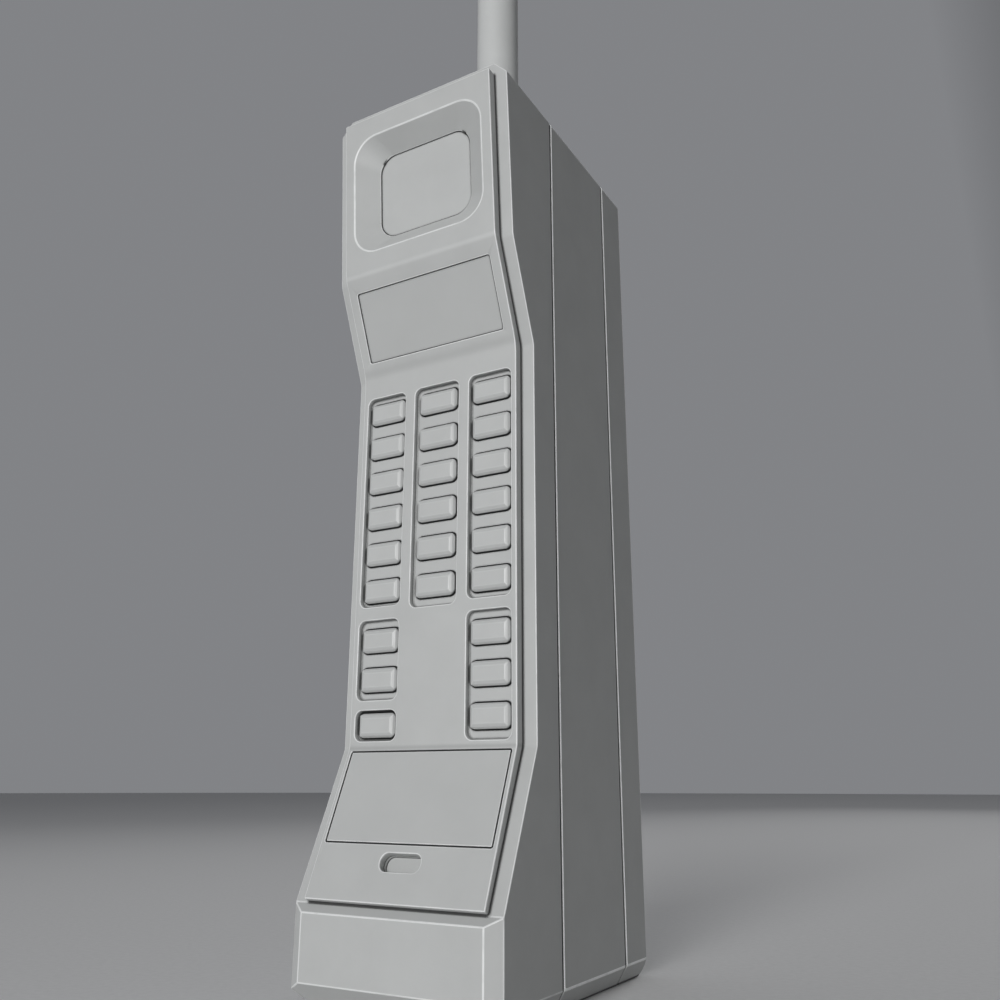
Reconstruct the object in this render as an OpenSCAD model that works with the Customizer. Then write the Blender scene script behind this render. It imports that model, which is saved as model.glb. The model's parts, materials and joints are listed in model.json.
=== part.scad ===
// Early mobile brick phone: three stacked housings, a raised face plate with
// an earpiece dish and push keys, a rear battery pack and a thick antenna.
// Frame: X across the phone, Y from its front (-Y) to its back (+Y), Z up.
// Origin: centre of the underside, half way between the front and the back.

/* [Body] */
// Width of the body
body_w = 60; // [59:0.5:62]
// Height of the body without the antenna
body_h = 252.5; // [252.5:0.5:256]
// Depth from the chin to the back of the battery pack
body_d = 84.4; // [82:0.2:86]
// Thickness of the housing walls
wall = 2.2; // [2:0.1:2.4]
// Depth of the front housing, from the face to the front seam
front_depth = 30.3; // [30.2:0.1:31]
// Depth of the front and middle housings, from the face to the rear seam
middle_depth = 68.1; // [68:0.1:69]
// Width of the groove at each seam
seam_gap = 0.6; // [0.5:0.1:0.8]

/* [Face plate] */
// Thickness of the face plate
plate_t = 3; // [2.9:0.1:3.2]
// Inset of the face plate from each side of the body
plate_inset = 4; // [3.7:0.1:4.3]
// Set-back of the keypad behind the earpiece end of the face
keypad_in = 15.25; // [14.5:0.05:15.5]

/* [Keys] */
// Height of one key
key_h = 6.5; // [6:0.1:6.8]
// Distance from one row of keys to the next
key_pitch = 10.64; // [10.5:0.01:10.7]
// How far a key can be pressed
key_travel = 1; // [0.6:0.1:1]

/* [Antenna] */
// Length of the antenna above the body
antenna_len = 150; // [100:5:170]
// Diameter of the antenna
antenna_d = 14.6; // [13:0.1:15]

/* [Hidden] */
$fn = 48;
over = 1;       // how far a cutter runs past the surface it cuts

// Colours
shell_grey = [0.70, 0.71, 0.70];
key_grey = [0.74, 0.75, 0.74];
dark_rubber = [0.16, 0.16, 0.17];
board_green = [0.16, 0.33, 0.20];
part_black = [0.10, 0.10, 0.11];
tin = [0.74, 0.74, 0.72];
gold = [0.80, 0.66, 0.36];

// Depth stations
front_y = -body_d / 2;              // front of the chin
face_y = front_y + 0.4;             // earpiece end of the face
back_y = body_d / 2;                // back of the battery pack
seam_1 = face_y + front_depth;
seam_2 = face_y + middle_depth;
half_gap = seam_gap / 2;

// Corners down the outside of the face plate, each as [y, z]
plate_a = [face_y, body_h - 3.7];
plate_b = [face_y + 3.8, 197.3];
plate_c = [face_y + keypad_in, 169.1];
plate_d = [face_y + keypad_in, 61.4];
plate_e = [face_y + 0.3, 25.2];
plate_foot_z = 24.4;                // where the plate's lower edge meets the housing
ridge_ease = 1.2;                   // how far the ridge under the earpiece is eased each way
fold_ease = 2.6;                    // the same for the fold above the keypad
foot_ease = 0.8;                    // for the fold under the keypad
ledge_ease = 0.8;                   // and for the folds of the ledge
plate_half_w = body_w / 2 - plate_inset;

// Corners down the ledge of the front housing that the plate lies on, each as [y, z]
ledge_a = [face_y + plate_t, body_h];
ledge_b = [plate_b[0] + plate_t, plate_b[1]];
ledge_c = [plate_c[0] + plate_t, plate_c[1] - 0.2];
ledge_d = [plate_d[0] + plate_t, plate_d[1] - 0.2];
ledge_e = [face_y + 1.95, 24.15];

// Chin and edge chamfers
chin_top_z = 22.2;
chin_low_z = 6.4;
chin_under = 7.4;                   // how far the bottom chamfer runs back
chin_side = [3.9, 2.35];            // chamfer of the chin's sides, across and back
top_chamfer = 4;
foot_chamfer = [2.9, 5];            // chamfer under the sides, across and up
back_chamfer = 1.2;
lip = [0.2, 1.2];                       // rear pieces' front edge: stands out by, length
lip_room = 1;

// Earpiece dish and its cover, measured in the plane of the upper face
dish = [45.2, 38.4];
dish_corner = 8;
dish_depth = 5;
dish_taper = 0.69;                  // size of the dish's floor as a share of its mouth
dish_down = 25.9;                   // centre of the dish below the plate's top edge
dish_back = [41, 35];               // thick part of the plate behind the dish
dish_back_t = 1.2;                  // wall behind the cover's pocket
cover = [32, 26.8];
cover_corner = 5.4;
cover_t = 1.2;
cover_gap = 0.05;                   // gap round the cover in its pocket
sound_r = 9;                        // sound hole behind the cover
speaker_r = 13;
speaker_t = 4;
magnet_r = 8;
magnet_t = 3;

// Display window, label and microphone slot, measured down their own faces
window = [45.8, 20.9];
window_down = 15.7;
window_corner = 0.6;
window_t = 1.2;                     // depth of the window's pocket
window_sink = 0.35;                 // window's face below the plate
window_gap = 0.1;
view_hole = [40, 13];               // hole in the plate behind the window
view_glass = [36, 8];
display = [42, 16];
display_t = 4;
label = [49.5, 24.3];
label_down = 13;
label_corner = 0.6;
label_t = 0.8;
label_sink = 0.05;
label_gap = 0.25;
mic_slot = [11.8, 4.4];
mic_corner = 2;
mic_down = 29.45;
mic_screen_t = 0.8;
mic_screen_in = plate_t + 0.3;      // front of the screen below the plate's face
mic_r = 4.8;
mic_len = 4.5;
boot_r = 6.2;
boot_len = 3.7;
mic_start = mic_screen_in + mic_screen_t + 0.6;      // front of the microphone

// Keypad: three columns
column_x = 17.6;                    // centre of the outer columns
outer_key_w = 12.1;
middle_key_w = 12.7;
outer_recess_w = 13.4;
middle_recess_w = 14.8;
key_corner = 1.7;
recess_corner = 2;
recess_depth = 1.6;
key_sink = 0.2;                     // top of a key below the face of the keypad
key_bevel = [1.4, 1];               // bevel round the top of a key, across and deep
key_gap = 0.2;                      // running gap between a key and its hole
key_shoulder = [0.45, 0.35];        // point of the bevel's curve, as shares of it
flange_rim = 0.5;
flange_t = 0.8;
key_post = [6, 3];                  // post that presses the membrane
first_row_z = 157.1;
lower_row_z = 90;
last_left_z = 67.3;

// Recesses that the keys stand in, each as [column, top z, bottom z]
recesses = [
    [-1, 162, 99.4], [-1, 95.6, 73.9], [-1, 71.2, 63.2],
    [0, 162, 98.1],
    [1, 162, 98.9], [1, 95.6, 62.9]
];

// Depth stations of the keypad stack
keypad_y = plate_c[0];
plate_back_y = keypad_y + plate_t;
flange_y = plate_back_y + 0.3;
post_end_y = flange_y + flange_t + 1;
membrane_y = post_end_y + key_travel + 0.3;
key_board_y = membrane_y + 0.8;
key_board_back = key_board_y + 1.6;
stack_x = 24;                       // half width of the membrane and the keypad board
stack_low_z = 62.6;
membrane_high_z = 162;
key_board_high_z = 166;

// Posts on the back of the face plate that the keypad board is screwed to, each as [x, z]
keypad_posts = [for (x = [-9, 9], z = [151.5, 109, 72]) [x, z]];
keypad_post_r = 1.6;
keypad_screw_r = 0.6;
keypad_head_r = 1.5;
keypad_head_t = 0.9;

// Boards inside the middle housing
board_x = 19.5;
board_low = 28;
board_high = 225;
logic_y = seam_1 + 2.2;
radio_y = logic_y + 13;
board_t = 1.6;
spacers = [for (x = [-16, 16], z = [35, 218]) [x, z]];
spacer_r = 2.6;
chip = [22, 2, 16];                 // chips on the front of the logic board
chip_zs = [45, 80, 130, 165];
rear_chip = [18, 2, 22];
rear_chip_zs = [45, 80, 130];
shield = [28, 12, 105];             // can over the radio circuits
shield_z = 45;
shield_t = 0.5;
duplexer_size = [22, 14, 50];
duplexer_z = 158;
port_x = 7;                         // its two round ports
port_r = 2;
port_len = 1.6;
ringer_z = 195;
ringer_r = 10;
ringer_t = 5;
ringer_hole = [1.5, 2];             // radius and depth
ribbon_w = 18;
ribbon_t = 0.3;
ribbon_z = [122, 112];              // height at the keypad board and at the logic board

// Long screws that hold the front and middle housings together, each as [x, z]
screw_spots = [for (x = [-23.6, 23.6], z = [14, 240]) [x, z]];
screw_r = 1.1;
screw_head_r = 2.4;
screw_head_t = 1.6;
screw_sink_r = 2.6;                 // counterbore of each screw's head
screw_sink = 2;
screw_post_r = 3.2;
screw_bite = 9;                     // length of thread in the front housing
cross = [3.6, 0.6, 0.7];            // arms of the cross recess: length, width and depth
rib_t = 2.4;                        // rib that ties a boss to the side wall
back_plate_t = 2.5;
middle_back = seam_2 - half_gap;    // rear face of the middle housing
back_wall_y = middle_back - back_plate_t;

// Antenna
antenna_y = (seam_1 + seam_2) / 2;
bushing_r = 6;
bushing_boss = [8.4, 10];           // boss in the housing round it: radius and height
bushing_flange = [7.6, 2.5];        // hex flange: corner radius and thickness
plug_r = 4;
plug_collar = [6, 4];               // collar inside the sleeve: radius and height
core_r = 2;
cable_r = 1.2;
cable_low = 208;
plug_gap = 0.05;                    // running gap of the stud in its bushing
bushing_len = 14;
bushing_low = body_h - bushing_len;
sleeve_low = body_h + 0.3;
sleeve_solid = 16;                  // solid end of the sleeve above its bore

// Battery latch on top of the middle housing
latch = [13.4, 5.4];
latch_corner = 1;
latch_y = seam_2 - 5.9;
latch_travel = 2;
latch_proud = 1.6;
latch_rim = [1.2, 1];               // rim under the top wall: reach and thickness
latch_low_z = body_h - wall - 3;    // underside of the latch button
latch_nose = [6, 2];                // nose towards the pack: width and height
latch_slack = 0.6;                  // width of the opening over the button's
shelf = [12, 2];                    // shelf under the spring: width and thickness
shelf_z = body_h - 13;
spring_pin = [1.4, 3];              // pin inside the spring: radius and height
spring_r = 2.1;
spring_wire = 0.35;
spring_turns = 5;
coil_steps = 16;                    // straight steps in one turn of the spring

// Hooks on the back of the middle housing that hold the pack
hook_x = 25;
hook_zs = [40, 120, 200];
hook_len = 10;
hook_neck = 2;
hook_head = 4;
hook_head_t = 1.2;
hook_room = 0.3;                    // play of a hook in its slot
pack_slide = 14;                    // how far the pack slides up to come off the hooks
pack_front = seam_2 + half_gap;
pack_plate_t = 1.5;
pack_wall = 1.4;
pocket_half_w = 3.2;                // block behind the plate that houses one hook
pocket_t = 4.6;

// Cells of the pack
cell_d = 10.5;
cell_len = 44.5;
cell_pitch_z = 45.3;
cell_low = 10;
cell_gap = 0.2;
cell_button = [2, 0.5];             // positive end of a cell: radius and height
cell_y = (pack_front + pack_plate_t + back_y - pack_wall) / 2;
strap = [40, 5, 0.25];
contact_xs = [-7, 0, 7];
contact_z = 30;
contact_r = 1.5;                    // spring contact of the phone, and its thinner tip
contact_tip_r = 0.9;
pad = [4, 7];                       // contact pad of the pack
pad_corner = 0.8;
pad_depth = 0.8;
charge_xs = [-12, 12];
charge_r = 2.5;

// Corner q between p and r drawn as a short curve that starts cut before it and ends cut after it
function eased(p, q, r, cut) =
    let (start = q + (p - q) * cut / norm(p - q), end = q + (r - q) * cut / norm(r - q))
    [start, (start + 2 * q + end) / 4, end];

// Y of the line from p to q at height z, where p and q are [y, z]
function y_at(p, q, z) = p[0] + (q[0] - p[0]) * (z - p[1]) / (q[1] - p[1]);

// Folds of the ledge from top to bottom, each eased, as [y, z]
ledge_folds = concat(
    eased(ledge_a, ledge_b, ledge_c, ledge_ease),
    eased(ledge_b, ledge_c, ledge_d, ledge_ease),
    eased(ledge_c, ledge_d, ledge_e, ledge_ease)
);

// Body outline seen from the side, as [y, z], moved inwards by t
function side_outline(t) = concat(
    [[ledge_a[0] + t, body_h - t]],
    [for (p = ledge_folds) [p[0] + t, p[1]]],
    [[ledge_e[0] + t, ledge_e[1]],
     [front_y + t, chin_top_z],
     [front_y + t, chin_low_z + t / 2],
     [front_y + chin_under + t / 2, t],
     [back_y - t - back_chamfer, t],
     [back_y - t, t + back_chamfer],
     [back_y - t, body_h - t - back_chamfer],
     [back_y - t - back_chamfer, body_h - t]]
);

// Right half of the body outline seen from the front, as [x, z], moved inwards by t
function half_front_outline(t) = [
    [body_w / 2 - foot_chamfer[0] - 0.58 * t, t],
    [body_w / 2 - t, foot_chamfer[1] + 0.27 * t],
    [body_w / 2 - t, body_h - top_chamfer - 0.41 * t],
    [body_w / 2 - top_chamfer - 0.41 * t, body_h - t]
];

// Right half of the body outline seen from above, as [x, y], moved inwards by t
function half_top_outline(t) = [
    [body_w / 2 - chin_side[0] - t / 2, front_y + t],
    [body_w / 2 - t, front_y + chin_side[1] + t / 4],
    [body_w / 2 - t, back_y - t - back_chamfer],
    [body_w / 2 - t - back_chamfer, back_y - t]
];

// Right half of the outline seen from above of a rear piece whose front edge is at y:
// its side stands out there by lip[0] and runs flush within lip[1]
function half_lipped_outline(y) = [
    [body_w / 2 + 2 * lip[0], y - lip[1]],
    [body_w / 2, y + lip[1]],
    [body_w / 2, back_y - back_chamfer],
    [body_w / 2 - back_chamfer, back_y]
];

// Right half of the front outline with its chamfers carried on past the sides by lip_room
function half_wide_outline() = [
    [body_w / 2 - foot_chamfer[0], 0],
    [body_w / 2 + lip_room, foot_chamfer[1] * (1 + lip_room / foot_chamfer[0])],
    [body_w / 2 + lip_room, body_h - top_chamfer - lip_room],
    [body_w / 2 - top_chamfer, body_h]
];

// A half outline with its own mirror image, as one closed outline
function both_halves(half) = concat(
    half, [for (i = [len(half) - 1:-1:0]) [-half[i][0], half[i][1]]]
);

// Prism of a [y, z] outline across the phone, from -half_w to +half_w
module across(points, half_w) {
    translate([-half_w, 0, 0])
        rotate([90, 0, 90]) linear_extrude(2 * half_w) polygon(points);
}

// Prism of an [x, z] shape through the phone, from y_a to y_b
module through(y_a, y_b) {
    translate([0, y_b, 0]) rotate([90, 0, 0]) linear_extrude(y_b - y_a) children();
}

// Cylinder along Y from y_a to y_b
module rod_y(r, y_a, y_b) {
    through(y_a, y_b) circle(r);
}

// Box between two corners
module block(low, high) {
    translate(low) cube(high - low);
}

module rounded_square(size, r) {
    square([size[0] - 2 * r, size[1]], center = true);
    square([size[0], size[1] - 2 * r], center = true);
    for (x = [-1, 1], y = [-1, 1])
        translate([x * (size[0] / 2 - r), y * (size[1] / 2 - r)]) circle(r);
}

// Rounded rectangular prism through the phone, from y_a to y_b
module plaque(size, r, y_a, y_b) {
    through(y_a, y_b) rounded_square(size, r);
}

// Places children on a face of the plate between two of its corners:
// down from the upper corner by drop, with +Y going into the body
module on_face(upper, lower, drop) {
    tilt = atan2(lower[0] - upper[0], upper[1] - lower[1]);
    translate([0, upper[0], upper[1]]) rotate([tilt, 0, 0]) translate([0, 0, -drop]) children();
}

module on_earpiece() {
    on_face(plate_a, plate_b, dish_down) children();
}

module on_window() {
    on_face(plate_b, plate_c, window_down) children();
}

module on_label() {
    on_face(plate_d, plate_e, label_down) children();
}

module on_microphone() {
    on_face(plate_d, plate_e, mic_down) children();
}

// Whole body, moved inwards by t, between two depth stations
module body_layer(t, y_a, y_b) {
    intersection() {
        across(side_outline(t), body_w / 2);
        through(front_y - over, back_y + over) polygon(both_halves(half_front_outline(t)));
        linear_extrude(body_h) polygon(both_halves(half_top_outline(t)));
        block([-body_w, y_a, -over], [body_w, y_b, body_h + over]);
    }
}

// Outside of a rear piece of the stack, between two depth stations
module lipped_layer(y_a, y_b) {
    intersection() {
        across(side_outline(0), body_w);
        through(y_a, y_b) polygon(both_halves(half_wide_outline()));
        linear_extrude(body_h) polygon(both_halves(half_lipped_outline(y_a)));
    }
}

// Piece that sits in an opening of a face with a gap all round, from y_a to y_b
module inset_piece(opening, corner, gap, y_a, y_b) {
    plaque([opening[0] - 2 * gap, opening[1] - 2 * gap], corner - gap, y_a, y_b);
}

// Front housing: shell with the chin, open behind the face plate
module front_housing() {
    color(shell_grey) difference() {
        union() {
            difference() {
                body_layer(0, front_y - over, seam_1 - half_gap);
                body_layer(wall, front_y - over, seam_1 + over);
                block([-stack_x - 0.7, front_y - over, stack_low_z - 0.6],
                      [stack_x + 0.7, seam_1 - 8, body_h - 7.5]);
                on_microphone() plaque(mic_slot, mic_corner, 0, 10);
            }
            for (s = screw_spots) front_boss(s);
        }
        for (s = screw_spots)
            translate([s[0], 0, s[1]])
                rod_y(screw_r + 0.05, seam_1 - screw_bite - 1, seam_1 + over);
    }
}

// Screw boss of the front housing: in the chin it grows from the front wall,
// and at the top it hangs from the side wall by a rib
module front_boss(s) {
    start = s[1] < body_h / 2 ? front_y + wall - 0.1 : face_y + 12;
    side = s[0] > 0 ? 1 : -1;
    translate([s[0], 0, s[1]]) rod_y(screw_post_r, start, seam_1 - half_gap);
    translate([side * (abs(s[0]) + body_w / 2 - wall) / 2, 0, s[1]])
        through(start, seam_1 - half_gap)
            square([body_w / 2 - wall - abs(s[0]) + 0.5, rib_t], center = true);
}

// Middle housing: closed at the back, with posts, antenna boss, latch pocket and hooks
module middle_housing() {
    color(shell_grey) difference() {
        union() {
            difference() {
                lipped_layer(seam_1 + half_gap, middle_back);
                body_layer(wall, seam_1 - over, back_wall_y);
            }
            for (s = screw_spots)
                translate([s[0], 0, s[1]]) rod_y(screw_post_r, seam_1 + half_gap, back_wall_y + 0.1);
            for (s = spacers)
                translate([s[0], 0, s[1]]) rod_y(spacer_r, radio_y + board_t, back_wall_y + 0.1);
            translate([0, antenna_y, body_h - over - bushing_boss[1]])
                cylinder(r = bushing_boss[0], h = bushing_boss[1]);
            block([-shelf[0] / 2, latch_y - 3.4, shelf_z - shelf[1]],
                  [shelf[0] / 2, back_wall_y + 0.1, shelf_z]);
            translate([0, latch_y, shelf_z - 0.1])
                cylinder(r = spring_pin[0], h = spring_pin[1] + 0.1);
            for (x = [-hook_x, hook_x], z = hook_zs) translate([x, 0, z]) pack_hook();
        }
        for (s = screw_spots) translate([s[0], 0, s[1]]) {
            rod_y(screw_r + 0.2, seam_1 - over, seam_2);
            rod_y(screw_sink_r, middle_back - screw_sink, seam_2);
        }
        translate([0, antenna_y, bushing_low]) cylinder(r = bushing_r, h = 20);
        latch_opening();
        for (x = contact_xs)
            translate([x, 0, contact_z]) rod_y(contact_r, back_wall_y - over, seam_2);
    }
}

module pack_hook() {
    head_y = pack_front + pack_plate_t + hook_room;
    block([-hook_neck / 2, middle_back - 0.1, 0], [hook_neck / 2, head_y + 0.1, hook_len]);
    block([-hook_head / 2, head_y, 0], [hook_head / 2, head_y + hook_head_t, hook_len]);
}

// Opening for the latch button in the top wall, and for its nose in the back wall
module latch_opening() {
    half_nose = latch_nose[0] / 2 + 0.4;
    translate([0, latch_y, body_h - 8]) linear_extrude(20)
        rounded_square([latch[0] + latch_slack, latch[1] + latch_slack],
                       latch_corner + latch_slack / 2);
    block([-half_nose, latch_y, latch_low_z - latch_travel - 0.4],
          [half_nose, seam_2, latch_low_z + latch_nose[1] + 0.6]);
}

// Face plate: one bent plate with the dish, the recesses, the key holes and the slots
module face_plate() {
    foot_y = y_at(ledge_d, ledge_e, plate_foot_z);
    top_y = y_at(ledge_a, ledge_b, plate_a[1]);
    color(shell_grey) difference() {
        union() {
            across(concat([plate_a],
                          eased(plate_a, plate_b, plate_c, ridge_ease),
                          eased(plate_b, plate_c, plate_d, fold_ease),
                          eased(plate_c, plate_d, plate_e, foot_ease),
                          [plate_e, [foot_y, plate_foot_z]],
                          [for (i = [len(ledge_folds) - 1:-1:0]) ledge_folds[i]],
                          [[top_y, plate_a[1]]]), plate_half_w);
            on_earpiece() plaque(dish_back, dish_corner - 1, plate_t - 0.1,
                                 dish_depth + cover_t + dish_back_t);
            for (p = keypad_posts)
                translate([p[0], 0, p[1]]) rod_y(keypad_post_r, plate_back_y - 0.1, key_board_y);
        }
        on_earpiece() dish_cutter();
        on_window() plaque(window, window_corner, -over, window_t);
        on_window() plaque(view_hole, 1, 0, plate_t + over);
        on_label() plaque(label, label_corner, -over, label_t);
        on_microphone() plaque(mic_slot, mic_corner, -over, plate_t + over);
        for (r = recesses) recess_cutter(r);
        for (i = [1:9]) key_hole(left_key(i));
        for (i = [1:6]) key_hole(middle_key(i));
        for (i = [1:9]) key_hole(right_key(i));
        for (p = keypad_posts)
            translate([p[0], 0, p[1]])
                rod_y(keypad_screw_r, plate_back_y + 0.2, key_board_y + over);
    }
}

// Sloping dish, the pocket of its cover and the sound hole behind
module dish_cutter() {
    lip = 1 + (1 - dish_taper) * over / dish_depth;
    translate([0, -over, 0]) rotate([-90, 0, 0])
        linear_extrude(dish_depth + over, scale = dish_taper / lip)
            rounded_square(dish * lip, dish_corner * lip);
    plaque(cover, cover_corner, dish_depth - 0.6, dish_depth + cover_t);
    rod_y(sound_r, dish_depth, dish_depth + 10);
}

module recess_cutter(r) {
    w = r[0] == 0 ? middle_recess_w : outer_recess_w;
    translate([r[0] * column_x, 0, (r[1] + r[2]) / 2])
        plaque([w, r[1] - r[2]], recess_corner, keypad_y - over, keypad_y + recess_depth);
}

// Each key as [x, z, width]
function row_z(i) = i <= 6 ? first_row_z - (i - 1) * key_pitch : lower_row_z - (i - 7) * key_pitch;
function left_key(i) = [-column_x, i == 9 ? last_left_z : row_z(i), outer_key_w];
function middle_key(i) = [0, row_z(i), middle_key_w];
function right_key(i) = [column_x, row_z(i), outer_key_w];

module key_hole(k) {
    translate([k[0], 0, k[1]])
        plaque([k[2] + 2 * key_gap, key_h + 2 * key_gap], key_corner + key_gap,
               keypad_y, plate_back_y + over);
}

// Bevelled key with a flange that keeps it behind the plate and a post that presses the membrane
module key(k) {
    top_y = keypad_y + key_sink;
    w = k[2] / 2;
    h = key_h / 2;
    color(key_grey) translate([k[0], 0, k[1]]) {
        intersection() {
            plaque([k[2], key_h], key_corner, top_y - over, flange_y + 0.1);
            linear_extrude(key_h + over, center = true) polygon(bevelled(w, top_y));
            across([for (p = bevelled(h, top_y)) [p[1], p[0]]], w + over);
        }
        plaque([k[2] + 2 * flange_rim, key_h + 2 * flange_rim], key_corner,
               flange_y, flange_y + flange_t);
        block([-key_post[0] / 2, flange_y + flange_t - 0.1, -key_post[1] / 2],
              [key_post[0] / 2, post_end_y, key_post[1] / 2]);
    }
}

// Section of a key of half width w whose top is at top_y, as [across, y]
function bevelled(w, top_y) = both_halves([
    [w, flange_y + 0.1],
    [w, top_y + key_bevel[1]],
    [w - key_bevel[0] * key_shoulder[0], top_y + key_bevel[1] * key_shoulder[1]],
    [w - key_bevel[0], top_y]
]);

module display_window() {
    color(shell_grey) on_window()
        inset_piece(window, window_corner, window_gap, window_sink, window_t);
}

module display_module() {
    color(part_black) on_window() {
        plaque(display, 1, plate_t + 0.3, plate_t + 0.3 + display_t);
        plaque(view_glass, 0.5, window_t + 0.4, plate_t + 0.4);
    }
}

module earpiece_cover() {
    color(shell_grey) on_earpiece()
        inset_piece(cover, cover_corner, cover_gap, dish_depth, dish_depth + cover_t);
}

module earpiece_speaker() {
    back = dish_depth + cover_t + dish_back_t + 0.1;
    color(part_black) on_earpiece() {
        rod_y(speaker_r, back, back + speaker_t);
        rod_y(magnet_r, back + speaker_t - 0.1, back + speaker_t + magnet_t);
    }
}

module label_plate() {
    color(shell_grey) on_label()
        inset_piece(label, label_corner, label_gap, label_sink, label_t);
}

module microphone_screen() {
    color(shell_grey) on_microphone()
        plaque(mic_slot, mic_corner, mic_screen_in, mic_screen_in + mic_screen_t);
}

module microphone() {
    color(tin) on_microphone() rod_y(mic_r, mic_start, mic_start + mic_len);
}

module microphone_boot() {
    color(dark_rubber) on_microphone() difference() {
        rod_y(boot_r, mic_start, mic_start + boot_len);
        rod_y(mic_r, mic_start - over, mic_start + boot_len + over);
    }
}

module keypad_membrane() {
    color(dark_rubber) difference() {
        block([-stack_x, membrane_y, stack_low_z], [stack_x, key_board_y, membrane_high_z]);
        for (p = keypad_posts)
            translate([p[0], 0, p[1]])
                rod_y(keypad_post_r + 0.1, membrane_y - over, key_board_y + over);
    }
}

module keypad_board() {
    color(board_green) difference() {
        block([-stack_x, key_board_y, stack_low_z],
              [stack_x, key_board_back, key_board_high_z]);
        for (p = keypad_posts)
            translate([p[0], 0, p[1]])
                rod_y(keypad_screw_r + 0.1, key_board_y - over, key_board_back + over);
    }
}

module keypad_screws() {
    color(tin) for (p = keypad_posts) translate([p[0], 0, p[1]]) {
        rod_y(keypad_screw_r, plate_back_y + 1, key_board_back + 0.1);
        rod_y(keypad_head_r, key_board_back, key_board_back + keypad_head_t);
    }
}

// Flat cable from the keypad board to the logic board
module ribbon_cable() {
    color(part_black) across([[key_board_back, ribbon_z[0]],
                              [key_board_back, ribbon_z[0] - ribbon_t],
                              [logic_y, ribbon_z[1]],
                              [logic_y, ribbon_z[1] + ribbon_t]], ribbon_w / 2);
}

module board(y) {
    block([-board_x, y, board_low], [board_x, y + board_t, board_high]);
}

module logic_board() {
    color(board_green) {
        board(logic_y);
        for (z = chip_zs)
            block([-chip[0] / 2, logic_y - chip[1], z], [chip[0] / 2, logic_y + 0.1, z + chip[2]]);
        for (z = rear_chip_zs)
            block([-rear_chip[0] / 2, logic_y + board_t - 0.1, z],
                  [rear_chip[0] / 2, logic_y + board_t + rear_chip[1], z + rear_chip[2]]);
    }
}

module radio_board() {
    color(board_green) board(radio_y);
}

// Folded can over the radio circuits, open towards its board
module radio_shield() {
    y = radio_y + board_t;
    color(tin) translate([0, y, shield_z]) difference() {
        block([-shield[0] / 2, 0, 0], [shield[0] / 2, shield[1], shield[2]]);
        block([-shield[0] / 2 + shield_t, -over, shield_t],
              [shield[0] / 2 - shield_t, shield[1] - shield_t, shield[2] - shield_t]);
    }
}

module duplexer() {
    y = radio_y + board_t;
    color(tin) translate([0, y, duplexer_z]) {
        block([-duplexer_size[0] / 2, 0, 0],
              [duplexer_size[0] / 2, duplexer_size[1], duplexer_size[2]]);
        for (x = [-port_x, port_x])
            translate([x, 0, duplexer_size[2] / 2])
                rod_y(port_r, duplexer_size[1] - 0.1, duplexer_size[1] + port_len - 0.1);
    }
}

module ringer() {
    y = logic_y + board_t;
    color(part_black) translate([0, y, ringer_z]) difference() {
        rod_y(ringer_r, 0, ringer_t);
        rod_y(ringer_hole[0], ringer_t - ringer_hole[1], ringer_t + over);
    }
}

module board_spacers() {
    color(tin) for (s = spacers)
        translate([s[0], radio_y, s[1]]) rotate([90, 0, 0])
            cylinder(r = spacer_r, h = radio_y - logic_y - board_t, $fn = 6);
}

module housing_screws() {
    color(tin) for (s = screw_spots) translate([s[0], 0, s[1]]) {
        head_y = middle_back - screw_sink;
        top_y = head_y + screw_head_t;
        rod_y(screw_r, seam_1 - screw_bite, head_y + 0.1);
        difference() {
            rod_y(screw_head_r, head_y, top_y);
            for (arm = [[cross[0], cross[1]], [cross[1], cross[0]]])
                block([-arm[0] / 2, top_y - cross[2], -arm[1] / 2],
                      [arm[0] / 2, top_y + over, arm[1] / 2]);
        }
    }
}

// Rubber ring at the bottom of the front seam
module housing_seal() {
    color(dark_rubber) difference() {
        body_layer(0.7, seam_1 - half_gap, seam_1 + half_gap);
        body_layer(2, seam_1 - over, seam_1 + over);
    }
}

// Threaded metal seat of the antenna, with a hex flange inside the housing
module antenna_bushing() {
    color(gold) translate([0, antenna_y, 0]) difference() {
        union() {
            translate([0, 0, bushing_low]) cylinder(r = bushing_r, h = bushing_len);
            translate([0, 0, bushing_low + 0.5])
                cylinder(r = bushing_flange[0], h = bushing_flange[1], $fn = 6);
        }
        translate([0, 0, bushing_low]) cylinder(r = plug_r + plug_gap, h = 20);
    }
}

module antenna_cable() {
    color(part_black) translate([0, antenna_y, cable_low])
        cylinder(r = cable_r, h = bushing_low - cable_low);
}

module phone_contacts() {
    color(gold) for (x = contact_xs) translate([x, 0, contact_z]) {
        rod_y(contact_r, back_wall_y - 1, middle_back - 0.4);
        rod_y(contact_tip_r, middle_back - 0.5, middle_back + 0.3);
    }
}

module latch_spring() {
    low = shelf_z + spring_wire + 0.05;
    color(tin) translate([0, latch_y, low])
        coil(spring_r, spring_wire, latch_low_z - spring_wire - 0.4 - low, spring_turns);
}

// Helical wire of radius wire round Z, swept along its turns with a six-sided section
module coil(r, wire, rise, turns) {
    steps = turns * coil_steps;
    sides = 6;
    rings = [for (i = [0:steps], j = [0:sides - 1]) let (
        turn = i * 360 / coil_steps,
        round = j * 360 / sides,
        reach = r + wire * cos(round)
    ) [reach * cos(turn), reach * sin(turn), rise * i / steps + wire * sin(round)]];
    walls = [for (i = [0:steps - 1], j = [0:sides - 1]) let (
        a = i * sides + j,
        b = i * sides + (j + 1) % sides
    ) [a, b, b + sides, a + sides]];
    first = [for (j = [sides - 1:-1:0]) j];
    last = [for (j = [0:sides - 1]) steps * sides + j];
    polyhedron(rings, concat(walls, [first, last]));
}

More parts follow.
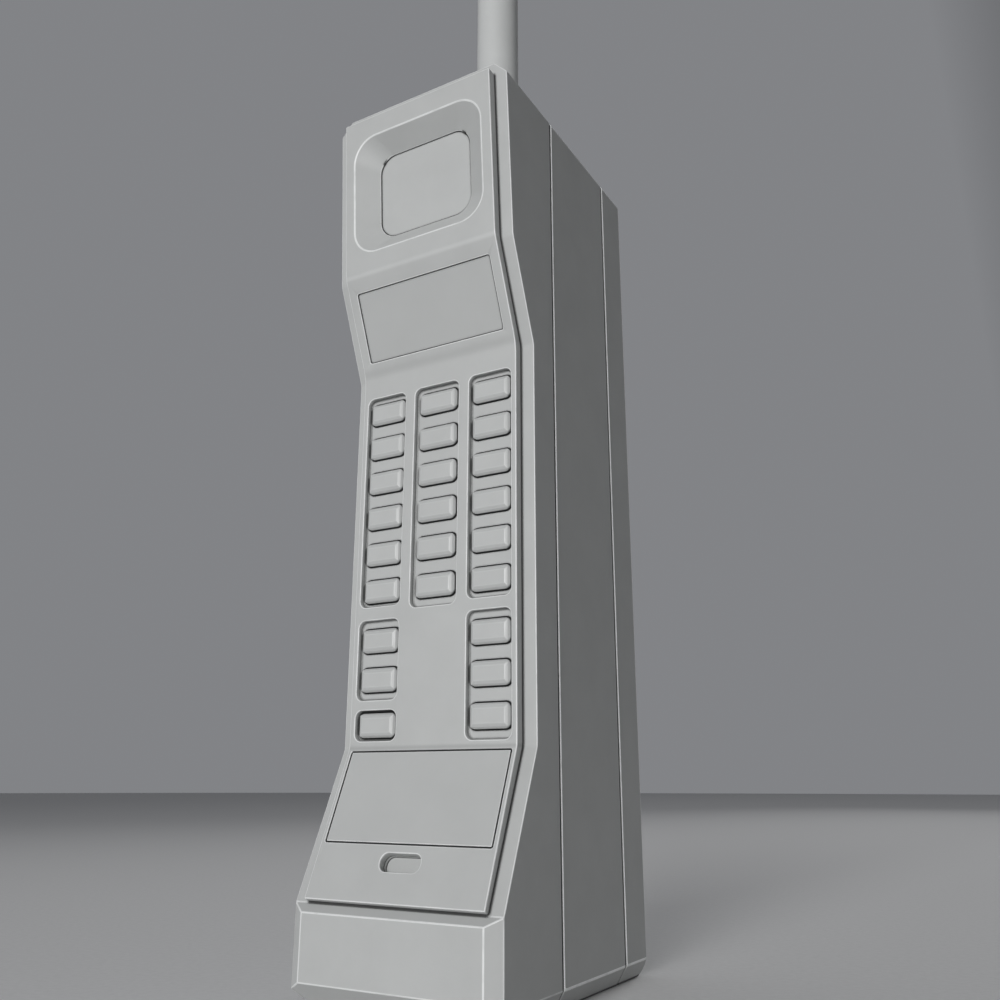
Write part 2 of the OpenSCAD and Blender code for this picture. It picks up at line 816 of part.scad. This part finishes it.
// Thumb button with a rim under the top wall and a nose towards the pack
module latch_button() {
    rim_z = body_h - wall - 0.1;
    half = [latch[0] / 2, latch[1] / 2];
    color(key_grey) {
        translate([0, latch_y, latch_low_z]) linear_extrude(body_h + latch_proud - latch_low_z)
            rounded_square(latch, latch_corner);
        block([-half[0] - latch_rim[0], latch_y - half[1] - latch_rim[0], rim_z - latch_rim[1]],
              [half[0] + latch_rim[0], latch_y + half[1], rim_z]);
        block([-latch_nose[0] / 2, latch_y, latch_low_z],
              [latch_nose[0] / 2, middle_back - 0.1, latch_low_z + latch_nose[1]]);
    }
}

// Battery case: tray that forms the back of the phone
module battery_case() {
    color(shell_grey) difference() {
        lipped_layer(pack_front, back_y + over);
        body_layer(pack_wall, pack_front - over, back_y);
        for (x = charge_xs)
            translate([x, cell_y, -over]) cylinder(r = charge_r, h = pack_wall + 2 * over);
    }
}

// Front of the pack, with keyhole slots for the hooks and pockets for the contacts
module battery_plate() {
    inner = body_w / 2 - pack_wall;
    color(shell_grey) difference() {
        intersection() {
            body_layer(pack_wall, pack_front - over, back_y);
            union() {
                block([-inner, pack_front, 0], [inner, pack_front + pack_plate_t, body_h]);
                for (x = [-hook_x, hook_x], z = hook_zs)
                    translate([x, 0, z])
                        block([-pocket_half_w, pack_front, -pack_slide - 2],
                              [pocket_half_w, pack_front + pocket_t, hook_len + 1.5]);
            }
        }
        for (x = [-hook_x, hook_x], z = hook_zs) translate([x, 0, z]) hook_slot();
        for (x = contact_xs)
            translate([x, 0, contact_z])
                plaque(pad, pad_corner, pack_front - over, pack_front + pad_depth);
    }
}

// Keyhole slot: a wide way in below, a narrow way up, and room behind for the head
module hook_slot() {
    head = hook_head / 2 + hook_room;
    neck = hook_neck / 2 + hook_room;
    room_y = pack_front + pack_plate_t;
    low = -pack_slide - hook_room;
    high = hook_len + hook_room;
    block([-neck, pack_front - over, low], [neck, room_y + 0.5, high]);
    block([-head, pack_front - over, low], [head, room_y + 0.5, high - pack_slide]);
    block([-head, room_y, low], [head, room_y + hook_head_t + 3 * hook_room, high]);
}

// Cells in four columns and five rows; the contacts take the place of two of them
module battery_cells() {
    color("steelblue") for (column = [0:3], row = [0:4])
        if (row > 0 || column == 0 || column == 3)
            translate([(column - 1.5) * (cell_d + cell_gap), cell_y,
                       cell_low + row * cell_pitch_z]) {
                cylinder(d = cell_d, h = cell_len);
                cylinder(r = cell_button[0], h = cell_len + cell_button[1]);
            }
}

module cell_straps() {
    color(tin) for (row = [0:4]) {
        z = cell_low + row * cell_pitch_z + cell_len + cell_button[1];
        block([-strap[0] / 2, cell_y - strap[1] / 2, z],
              [strap[0] / 2, cell_y + strap[1] / 2, z + strap[2]]);
    }
}

// Pads towards the phone, and round charging pads in the underside
module battery_contacts() {
    color(gold) {
        for (x = contact_xs)
            translate([x, 0, contact_z])
                plaque(pad, pad_corner, pack_front + 0.1, pack_front + pad_depth);
        for (x = charge_xs) translate([x, cell_y, 0.3]) cylinder(r = charge_r, h = pack_wall);
    }
}

// Plastic sleeve of the antenna, with a domed tip
module antenna_sleeve() {
    r = antenna_d / 2;
    tip = sleeve_low + antenna_len;
    color(shell_grey) translate([0, antenna_y, 0]) difference() {
        union() {
            translate([0, 0, sleeve_low]) cylinder(r = r, h = antenna_len - r);
            translate([0, 0, tip - r]) sphere(r = r);
        }
        translate([0, 0, sleeve_low - over])
            cylinder(r = core_r, h = over + antenna_len - sleeve_solid);
        translate([0, 0, sleeve_low - over])
            cylinder(r = plug_collar[0], h = over + plug_collar[1]);
    }
}

module antenna_core() {
    color(gold) translate([0, antenna_y, sleeve_low + plug_collar[1] - 1])
        cylinder(r = core_r, h = antenna_len - sleeve_solid - plug_collar[1] + 1);
}

// Threaded stud that screws into the bushing, with a collar inside the sleeve
module antenna_plug() {
    color(gold) translate([0, antenna_y, 0]) difference() {
        union() {
            translate([0, 0, bushing_low + 1.5]) cylinder(r = plug_r, h = sleeve_low - bushing_low);
            translate([0, 0, sleeve_low]) cylinder(r = plug_collar[0], h = plug_collar[1]);
        }
        translate([0, 0, sleeve_low + plug_collar[1] - 1]) cylinder(r = core_r, h = 10);
    }
}

front_housing();
middle_housing();
face_plate();
display_window();
display_module();
earpiece_cover();
earpiece_speaker();
label_plate();
microphone_screen();
microphone();
microphone_boot();
keypad_membrane();
keypad_board();
keypad_screws();
ribbon_cable();
logic_board();
radio_board();
radio_shield();
duplexer();
ringer();
board_spacers();
housing_screws();
housing_seal();
antenna_bushing();
antenna_cable();
phone_contacts();
latch_spring();
latch_button();
battery_case();
battery_plate();
battery_cells();
cell_straps();
battery_contacts();
antenna_sleeve();
antenna_core();
antenna_plug();
for (i = [1:9])
    key(left_key(i));
for (i = [1:6])
    key(middle_key(i));
for (i = [1:9])
    key(right_key(i));
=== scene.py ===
"""Looks of the early mobile brick phone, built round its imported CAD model."""

import json
import math

import bpy
from mathutils import Euler, Matrix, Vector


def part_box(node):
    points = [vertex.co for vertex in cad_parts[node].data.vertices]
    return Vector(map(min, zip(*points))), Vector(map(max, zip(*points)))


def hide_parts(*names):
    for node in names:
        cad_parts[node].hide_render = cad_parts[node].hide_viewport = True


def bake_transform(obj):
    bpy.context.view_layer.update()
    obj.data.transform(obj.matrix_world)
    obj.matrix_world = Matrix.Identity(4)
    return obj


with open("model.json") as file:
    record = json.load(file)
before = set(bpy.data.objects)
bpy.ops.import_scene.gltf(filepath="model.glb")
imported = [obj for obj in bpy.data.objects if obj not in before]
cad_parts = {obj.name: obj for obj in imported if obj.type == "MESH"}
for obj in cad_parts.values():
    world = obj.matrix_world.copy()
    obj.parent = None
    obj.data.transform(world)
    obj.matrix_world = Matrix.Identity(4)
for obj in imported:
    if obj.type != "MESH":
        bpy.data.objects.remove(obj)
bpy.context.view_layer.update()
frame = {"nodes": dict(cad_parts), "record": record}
nodes = frame["nodes"]
slot_of = {row["node"]: row["material_slot"] for row in frame["record"]["subparts"]}
scene = bpy.context.scene

MM = 0.001


# ---------------------------------------------------------------- materials


class Graph:
    """A material's node tree, with one short call for each kind of node."""

    def __init__(self, name):
        self.material = bpy.data.materials.new(name)
        self.material.use_nodes = True
        self.tree = self.material.node_tree
        self.shader = self.tree.nodes["Principled BSDF"]
        self.place = self.node("ShaderNodeTexCoord").outputs["Object"]

    def node(self, kind, **settings):
        made = self.tree.nodes.new(kind)
        for key, value in settings.items():
            setattr(made, key, value)
        return made

    def put(self, value, socket):
        """Links an output to a socket, or sets the socket to a plain value."""
        if isinstance(value, bpy.types.NodeSocket):
            self.tree.links.new(value, socket)
        else:
            socket.default_value = value

    def noise(self, size, detail=3.0, rough=0.55, stretch=(1, 1, 1)):
        """Noise whose blotches are about size metres across."""
        made = self.node("ShaderNodeTexNoise")
        self.put(self.stretched(stretch), made.inputs["Vector"])
        made.inputs["Scale"].default_value = 1 / size
        made.inputs["Detail"].default_value = detail
        made.inputs["Roughness"].default_value = rough
        return made.outputs["Fac"]

    def cells(self, size, feature):
        """Distances in a pattern of cells about size metres across."""
        made = self.node("ShaderNodeTexVoronoi", feature=feature)
        self.put(self.place, made.inputs["Vector"])
        made.inputs["Scale"].default_value = 1 / size
        return made.outputs["Distance"]

    def waves(self, size, direction):
        """Straight bands across one axis."""
        made = self.node("ShaderNodeTexWave", bands_direction=direction)
        self.put(self.place, made.inputs["Vector"])
        made.inputs["Scale"].default_value = 1 / size
        return made.outputs["Fac"]

    def stretched(self, stretch):
        """Places on the object, scaled along X, Y and Z."""
        if stretch == (1, 1, 1):
            return self.place
        made = self.node("ShaderNodeMapping")
        self.put(self.place, made.inputs["Vector"])
        made.inputs["Scale"].default_value = stretch
        return made.outputs["Vector"]

    def maths(self, operation, a, b=0.0):
        made = self.node("ShaderNodeMath", operation=operation)
        for value, socket in zip((a, b), made.inputs):
            self.put(value, socket)
        return made.outputs[0]

    def remap(self, value, low, high, to_low, to_high, shape="LINEAR"):
        """Takes low..high to to_low..to_high, and holds the ends beyond them."""
        made = self.node("ShaderNodeMapRange", clamp=True, interpolation_type=shape)
        for key, setting in (
            ("Value", value),
            ("From Min", low),
            ("From Max", high),
            ("To Min", to_low),
            ("To Max", to_high),
        ):
            self.put(setting, made.inputs[key])
        return made.outputs[0]

    def mix(self, share, a, b):
        """Colour a with this share of colour b."""
        made = self.node("ShaderNodeMix", data_type="RGBA")
        self.put(share, made.inputs["Factor"])
        # The colour sockets come after those for numbers and vectors
        for value, socket in ((a, made.inputs[6]), (b, made.inputs[7])):
            self.put(value if isinstance(value, bpy.types.NodeSocket) else (*value, 1), socket)
        return made.outputs[2]

    def band(self, height, half_width):
        """1 at a height above the floor, falling softly to 0 at half_width from it."""
        axes = self.node("ShaderNodeSeparateXYZ")
        self.put(self.place, axes.inputs["Vector"])
        off = self.maths("ABSOLUTE", self.maths("SUBTRACT", axes.outputs["Z"], height))
        return self.remap(off, 0.0, half_width, 1.0, 0.0, shape="SMOOTHSTEP")

    def openness(self, reach):
        """1 in the open, falling towards 0 in a groove or inner corner."""
        made = self.node("ShaderNodeAmbientOcclusion", samples=8)
        made.inputs["Distance"].default_value = reach
        return made.outputs["AO"]

    def bump(self, height, depth, strength):
        made = self.node("ShaderNodeBump")
        self.put(height, made.inputs["Height"])
        made.inputs["Distance"].default_value = depth
        made.inputs["Strength"].default_value = strength
        self.put(made.outputs["Normal"], self.shader.inputs["Normal"])

    def set(self, **inputs):
        """Sets shader inputs by name, with _ for each space."""
        for key, value in inputs.items():
            self.put(value, self.shader.inputs[key.replace("_", " ")])


def shade(colour, factor):
    return tuple(min(1.0, channel * factor) for channel in colour)


HOUSING = (0.455, 0.463, 0.458)
# Pale of rubbed edges, which also serves as a painted highlight on the ridges and on the brow
PALE_WEAR_AND_HIGHLIGHT = (0.74, 0.75, 0.745)
SEAM_HIGHLIGHT = (0.96, 0.97, 0.965)     # painted highlight on the rear pieces' edges, over their wear, palest of all
# Painted shade for the face plate's inner bends
FOLD_SHADE = shade(HOUSING, 0.55)
GROOVE_REACH = 0.8 * MM
HOLLOW_REACH = 6 * MM
GLOSS = 0.5
GRAIN_STRENGTH = 0.7
RUBBED_GRAIN_STRENGTH = 0.25

# Soft bands across the face plate, each as height, half width, colour and strength. There is a
# painted highlight on the brow above the window, and painted shade in the bends under the
# window and over the label.
window_low, window_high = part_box("display_window")
label_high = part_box("label_plate")[1]
PLATE_LIGHT_AND_SHADE_BANDS = (
    (window_high.z + 4.45 * MM, 1.1 * MM, PALE_WEAR_AND_HIGHLIGHT, 0.21),
    (window_low.z - 3.25 * MM, 2.3 * MM, FOLD_SHADE, 0.25),
    (label_high.z + 1.0 * MM, 0.9 * MM, FOLD_SHADE, 0.40),
)


def moulded(name, colour, grain, depth, rough, mottle, wear_and_highlight=0.0, pale=None, light_and_shade_bands=()):
    """Moulded plastic: spark-eroded grain, soft mottling, and painted shade in grooves and
    hollows.
    grain is the size of its pebbles, depth their height, and wear_and_highlight how far it is
    rubbed and painted with a highlight towards the colour pale. light_and_shade_bands are
    painted highlight and shade bands across it, given as PLATE_LIGHT_AND_SHADE_BANDS gives
    them."""
    g = Graph(name)
    pebbles = g.maths(
        "ADD",
        g.maths("MULTIPLY", g.cells(grain, "SMOOTH_F1"), 0.6),
        g.maths("MULTIPLY", g.noise(grain * 0.6, 2.0), 0.6),
    )
    cloud = g.remap(g.noise(14 * MM, 4.0, 0.6), 0.3, 0.7, 0.0, 1.0)
    body = g.mix(cloud, shade(colour, 1 - mottle), shade(colour, 1 + mottle))
    spots = g.remap(g.noise(1.1 * MM, 5.0, 0.65), 0.62, 0.8, 0.0, 0.10)
    body = g.mix(spots, body, shade(colour, 0.8))
    # Painted highlight and painted shade, laid in soft bands across the plate's folds
    for height, half_width, tint, strength in light_and_shade_bands:
        body = g.mix(g.maths("MULTIPLY", g.band(height, half_width), strength), body, tint)
    finish = g.remap(g.noise(9 * MM, 3.0), 0.3, 0.7, rough - 0.05, rough + 0.06)
    clear = g.openness(GROOVE_REACH)
    # Painted shade: grooves and inner corners are darkened almost to black
    groove_shade = g.remap(clear, 0.70, 0.97, 0.96, 0.0)
    if wear_and_highlight:
        # The pale edges are partly rubbing and partly a painted highlight; hands reach neither
        # the grooves nor the walls of the hollows
        exposed = g.remap(g.openness(HOLLOW_REACH), 0.74, 0.88, 0.0, 1.0)
        rubbed_and_highlit = g.remap(g.noise(5 * MM, 3.0), 0.25, 0.5, 0.6 * wear_and_highlight, wear_and_highlight)
        rubbed_and_highlit = g.maths("MULTIPLY", rubbed_and_highlit, g.remap(clear, 0.62, 0.80, 0.0, 1.0))
        rubbed_and_highlit = g.maths("MULTIPLY", rubbed_and_highlit, exposed)
        # On worn pieces the painted shade keeps mostly to the hollows
        groove_shade = g.maths("MULTIPLY", groove_shade, g.remap(exposed, 0.0, 1.0, 1.0, 0.2))
        # Pales the open edges: wear and a painted highlight
        body = g.mix(rubbed_and_highlit, body, pale)
        finish = g.maths("SUBTRACT", finish, g.maths("MULTIPLY", rubbed_and_highlit, 0.12))
    # Lays the painted shade over the colour
    body = g.mix(groove_shade, body, shade(colour, 0.06))
    g.set(Base_Color=body, Roughness=finish, Specular_IOR_Level=GLOSS)
    g.bump(pebbles, depth, RUBBED_GRAIN_STRENGTH if wear_and_highlight else GRAIN_STRENGTH)
    return g.material


def brushed(name, colour, rough):
    """Rolled or plated metal with fine upright drawn lines and a few dull stains."""
    g = Graph(name)
    lines = g.noise(0.25 * MM, 3.0, 0.6, stretch=(1, 1, 0.04))
    stain = g.remap(g.noise(4 * MM, 4.0), 0.45, 0.75, 0.0, 0.5)
    body = g.mix(g.remap(lines, 0.3, 0.7, 0.0, 1.0), shade(colour, 0.88), shade(colour, 1.06))
    g.set(
        Base_Color=g.mix(stain, body, shade(colour, 0.7)),
        Metallic=1.0,
        Roughness=g.maths("ADD", rough, g.maths("MULTIPLY", stain, 0.3)),
    )
    g.bump(lines, 0.006 * MM, 0.5)
    return g.material


def rubbery(name, colour):
    """Matt rubber with a dusty bloom."""
    g = Graph(name)
    skin = g.noise(0.35 * MM, 4.0, 0.6)
    bloom = g.remap(g.noise(6 * MM, 4.0), 0.4, 0.7, 0.0, 0.5)
    g.set(
        Base_Color=g.mix(bloom, colour, shade(colour, 1.9)),
        Roughness=g.remap(skin, 0.3, 0.7, 0.7, 0.9),
        Specular_IOR_Level=0.3,
    )
    g.bump(skin, 0.02 * MM, 0.6)
    return g.material


def circuit(name):
    """Lacquered board with copper tracks under the green."""
    g = Graph(name)
    tracks = g.remap(g.cells(2.2 * MM, "DISTANCE_TO_EDGE"), 0.06, 0.09, 1.0, 0.0)
    weave = g.maths("MULTIPLY", g.waves(1.2 * MM, "X"), g.waves(1.2 * MM, "Z"))
    body = g.mix(g.remap(weave, 0, 1, 0.0, 0.25), (0.02, 0.10, 0.045), (0.03, 0.15, 0.06))
    g.set(
        Base_Color=g.mix(tracks, body, (0.06, 0.24, 0.08)),
        Roughness=g.remap(g.noise(3 * MM), 0.3, 0.7, 0.28, 0.42),
        Coat_Weight=0.3,
        Coat_Roughness=0.2,
    )
    g.bump(tracks, 0.03 * MM, 0.6)
    return g.material


def wrapped(name, colour):
    """Shrink wrap round the cells, with faint creases."""
    g = Graph(name)
    crease = g.noise(2.5 * MM, 5.0, 0.6, stretch=(1, 1, 0.3))
    share = g.remap(crease, 0.3, 0.7, 0.0, 1.0)
    g.set(
        Base_Color=g.mix(share, shade(colour, 0.8), shade(colour, 1.2)),
        Roughness=g.remap(crease, 0.3, 0.7, 0.25, 0.4),
    )
    g.bump(crease, 0.08 * MM, 0.5)
    return g.material


def woven(name, colour):
    """Fine acoustic mesh behind the microphone slot."""
    g = Graph(name)
    threads = g.maths("MAXIMUM", g.waves(0.5 * MM, "X"), g.waves(0.5 * MM, "Z"))
    g.set(
        Base_Color=g.mix(threads, shade(colour, 0.82), shade(colour, 1.08)),
        Roughness=g.remap(threads, 0, 1, 0.8, 0.6),
    )
    g.bump(threads, 0.03 * MM, 0.6)
    return g.material


# Plastics of the outer pieces: colour, size and height of the grain, roughness, mottling
PLASTICS = {
    "shell_plastic": (HOUSING, 0.42 * MM, 0.022 * MM, 0.56, 0.03),
    "plate_plastic": (HOUSING, 0.36 * MM, 0.018 * MM, 0.54, 0.03),
    "window_plastic": (HOUSING, 0.30 * MM, 0.004 * MM, 0.34, 0.015),
    "label_plastic": (HOUSING, 0.30 * MM, 0.008 * MM, 0.44, 0.02),
    "key_plastic": (shade(HOUSING, 1.04), 0.30 * MM, 0.010 * MM, 0.46, 0.03),
    "antenna_plastic": (shade(HOUSING, 1.14), 0.40 * MM, 0.016 * MM, 0.5, 0.03),
    "black_plastic": ((0.03, 0.03, 0.032), 0.40 * MM, 0.020 * MM, 0.5, 0.03),
}
SLOT_LIGHT_AND_SHADE_BANDS = {"plate_plastic": PLATE_LIGHT_AND_SHADE_BANDS}
# How far edges are rubbed and painted with a highlight, on most pieces and on the keys
EDGE_WEAR_AND_HIGHLIGHT = 0.95
KEY_EDGE_WEAR_AND_HIGHLIGHT = 0.15
EDGE_SMOOTHING = 0.08               # how much less rough a rubbed edge is

materials = {
    "screen_mesh": woven("screen_mesh", HOUSING),
    "rubber": rubbery("rubber", (0.028, 0.028, 0.03)),
    "board": circuit("circuit_board"),
    "steel": brushed("plated_steel", (0.62, 0.62, 0.60), 0.28),
    "brass": brushed("plated_brass", (0.80, 0.60, 0.27), 0.24),
    "cell_wrap": wrapped("cell_wrap", (0.045, 0.13, 0.30)),
}
highlit_worn_edges = {}
for slot, (colour, grain, depth, rough, mottle) in PLASTICS.items():
    materials[slot] = moulded(
        slot, colour, grain, depth, rough, mottle, light_and_shade_bands=SLOT_LIGHT_AND_SHADE_BANDS.get(slot, ())
    )
    # An edge copy of each plastic for the bevels, worn pale and painted with a highlight
    highlit_worn_edges[slot] = moulded(
        slot + "_edge",
        colour,
        grain,
        depth,
        rough - EDGE_SMOOTHING,
        mottle,
        wear_and_highlight=KEY_EDGE_WEAR_AND_HIGHLIGHT if slot == "key_plastic" else EDGE_WEAR_AND_HIGHLIGHT,
        pale=PALE_WEAR_AND_HIGHLIGHT,
    )
# The rear pieces' edges: rubbed, and painted with the brightest highlight
seam_highlight_edge = moulded("seam_highlight_edge", *PLASTICS["shell_plastic"], wear_and_highlight=1.0, pale=SEAM_HIGHLIGHT)


# ------------------------------------------------------------------- pieces

# Rounding of each outer piece's edges
EDGE_RADIUS = {
    "front_housing": 0.25 * MM,
    "middle_housing": 0.42 * MM,
    "battery_case": 0.42 * MM,
    "face_plate": 0.3 * MM,
    "antenna_sleeve": 0.4 * MM,
    "latch_button": 0.25 * MM,
    "display_window": 0.1 * MM,
    "label_plate": 0.3 * MM,
    "earpiece_cover": 0.15 * MM,
}
KEY_RADIUS = 0.17 * MM
SEAM_PIECES = ("middle_housing", "battery_case")    # their edges take the palest painted highlight
KEY_COLUMNS = ("key_left_", "key_middle_", "key_right_")
SHARP_ANGLE = math.radians(14)      # gentler folds are shaded smooth
FLAT_ANGLE = math.radians(0.5)      # facets closer than this are one flat face
WELD_GAP = 0.002 * MM


def soften(piece, radius, edge_material):
    """Rounds the real edges of a CAD node with modifiers; its mesh stays as packed."""
    weld = piece.modifiers.new("weld", "WELD")
    weld.merge_threshold = WELD_GAP
    flat = piece.modifiers.new("flat", "DECIMATE")
    flat.decimate_type = "DISSOLVE"
    flat.angle_limit = FLAT_ANGLE
    piece.modifiers.new("split", "TRIANGULATE")
    piece.data.materials.append(edge_material)
    bevel = piece.modifiers.new("bevel", "BEVEL")
    bevel.width = radius
    bevel.segments = 2
    bevel.limit_method = "ANGLE"
    bevel.angle_limit = SHARP_ANGLE
    bevel.use_clamp_overlap = False
    bevel.loop_slide = False        # else the bevel runs out along the triangles' edges
    bevel.miter_outer = "MITER_ARC"
    # The bevels take the edge material, with its painted highlight
    bevel.material = len(piece.data.materials) - 1
    normals = piece.modifiers.new("normals", "WEIGHTED_NORMAL")
    normals.keep_sharp = False
    normals.weight = 100


for name, piece in nodes.items():
    slot = slot_of[name]
    piece.data.materials.clear()
    piece.data.materials.append(materials[slot])
    if name in EDGE_RADIUS:
        edge = seam_highlight_edge if name in SEAM_PIECES else highlit_worn_edges[slot]
        soften(piece, EDGE_RADIUS[name], edge)
    elif name.startswith(KEY_COLUMNS):
        soften(piece, KEY_RADIUS, highlit_worn_edges[slot])


# The latch's coil spring, as an object of its own in place of its CAD node
coil = bpy.data.objects.new("latch_coil", nodes["latch_spring"].data.copy())
scene.collection.objects.link(coil)
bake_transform(coil)
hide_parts("latch_spring")


# ------------------------------------------------------- floor, light, camera

FLOOR_RADIUS = 6
LAMP_SPREAD = math.radians(40)
AIM_HEIGHT = 0.15                   # between the middles of the body and of the whole
SKY_COLOUR = (0.93, 0.95, 1.0)
SKY_FROM_LEFT = 0.24
SKY_FROM_RIGHT = 0.075
SKY_TURN = (-0.02, 0.12)            # X of the directions between which it changes


def studio_floor():
    bpy.ops.mesh.primitive_circle_add(
        vertices=96, radius=FLOOR_RADIUS, fill_type="NGON", location=(0, 0, 0)
    )
    floor = bpy.context.object
    floor.name = "floor"
    g = Graph("studio_floor")
    paper = g.remap(g.noise(2.0 * MM), 0.3, 0.7, 0, 1)
    g.set(
        Base_Color=g.mix(paper, (0.74, 0.74, 0.74), (0.78, 0.78, 0.78)),
        Roughness=0.9,
        Specular_IOR_Level=0.1,
    )
    floor.data.materials.append(g.material)


def soft_box(name, azimuth, elevation, distance, width, height, power):
    """Area lamp aimed at the middle of the phone; azimuth 0 is straight in front. Its
    light fans out little, so that the floor below the lamp isn't burnt out."""
    lamp = bpy.data.lights.new(name, "AREA")
    lamp.shape = "RECTANGLE"
    lamp.spread = LAMP_SPREAD
    lamp.size = width
    lamp.size_y = height
    lamp.energy = power
    stand = bpy.data.objects.new(name, lamp)
    scene.collection.objects.link(stand)
    a, e = math.radians(azimuth), math.radians(elevation)
    stand.location = (
        math.sin(a) * math.cos(e) * distance,
        -math.cos(a) * math.cos(e) * distance,
        math.sin(e) * distance + AIM_HEIGHT,
    )
    stand.rotation_euler = (math.pi / 2 - e, 0, a)
    return stand


def studio_world():
    """Pale cool light from all round, stronger from the phone's left than its right."""
    world = bpy.data.worlds.new("studio")
    world.use_nodes = True
    tree = world.node_tree
    background = tree.nodes["Background"]
    background.inputs["Color"].default_value = (*SKY_COLOUR, 1)
    direction = tree.nodes.new("ShaderNodeTexCoord").outputs["Generated"]
    axes = tree.nodes.new("ShaderNodeSeparateXYZ")
    strength = tree.nodes.new("ShaderNodeMapRange")
    for key, value in (
        ("From Min", SKY_TURN[0]),
        ("From Max", SKY_TURN[1]),
        ("To Min", SKY_FROM_LEFT),
        ("To Max", SKY_FROM_RIGHT),
    ):
        strength.inputs[key].default_value = value
    tree.links.new(direction, axes.inputs["Vector"])
    tree.links.new(axes.outputs["X"], strength.inputs["Value"])
    tree.links.new(strength.outputs["Result"], background.inputs["Strength"])
    scene.world = world


def photo_camera():
    """The camera that was fitted to the photo."""
    camera = bpy.data.cameras.new("camera")
    camera.sensor_width = 36
    camera.lens = 34.512
    camera.clip_start = 10 * MM
    stand = bpy.data.objects.new("camera", camera)
    scene.collection.objects.link(stand)
    stand.location = (143.707 * MM, -236.79 * MM, 52.242 * MM)
    yaw, pitch, roll = (math.radians(angle) for angle in (30.265, 16.51, 0.085))
    aim = Euler((math.pi / 2 + pitch, 0, yaw)).to_matrix() @ Matrix.Rotation(roll, 3, "Z")
    stand.rotation_euler = aim.to_euler()
    scene.camera = stand


studio_floor()
soft_box(
    "key_light", azimuth=8, elevation=9, distance=4.0, width=1.7, height=1.1, power=8.0
)
back_light = soft_box(
    "back_light", azimuth=180, elevation=12, distance=3.0, width=0.8, height=0.8, power=2.2
)
back_light.visible_glossy = False   # no glare along the sides
back_light.visible_camera = False
studio_world()
photo_camera()
scene.view_settings.view_transform = "Standard"
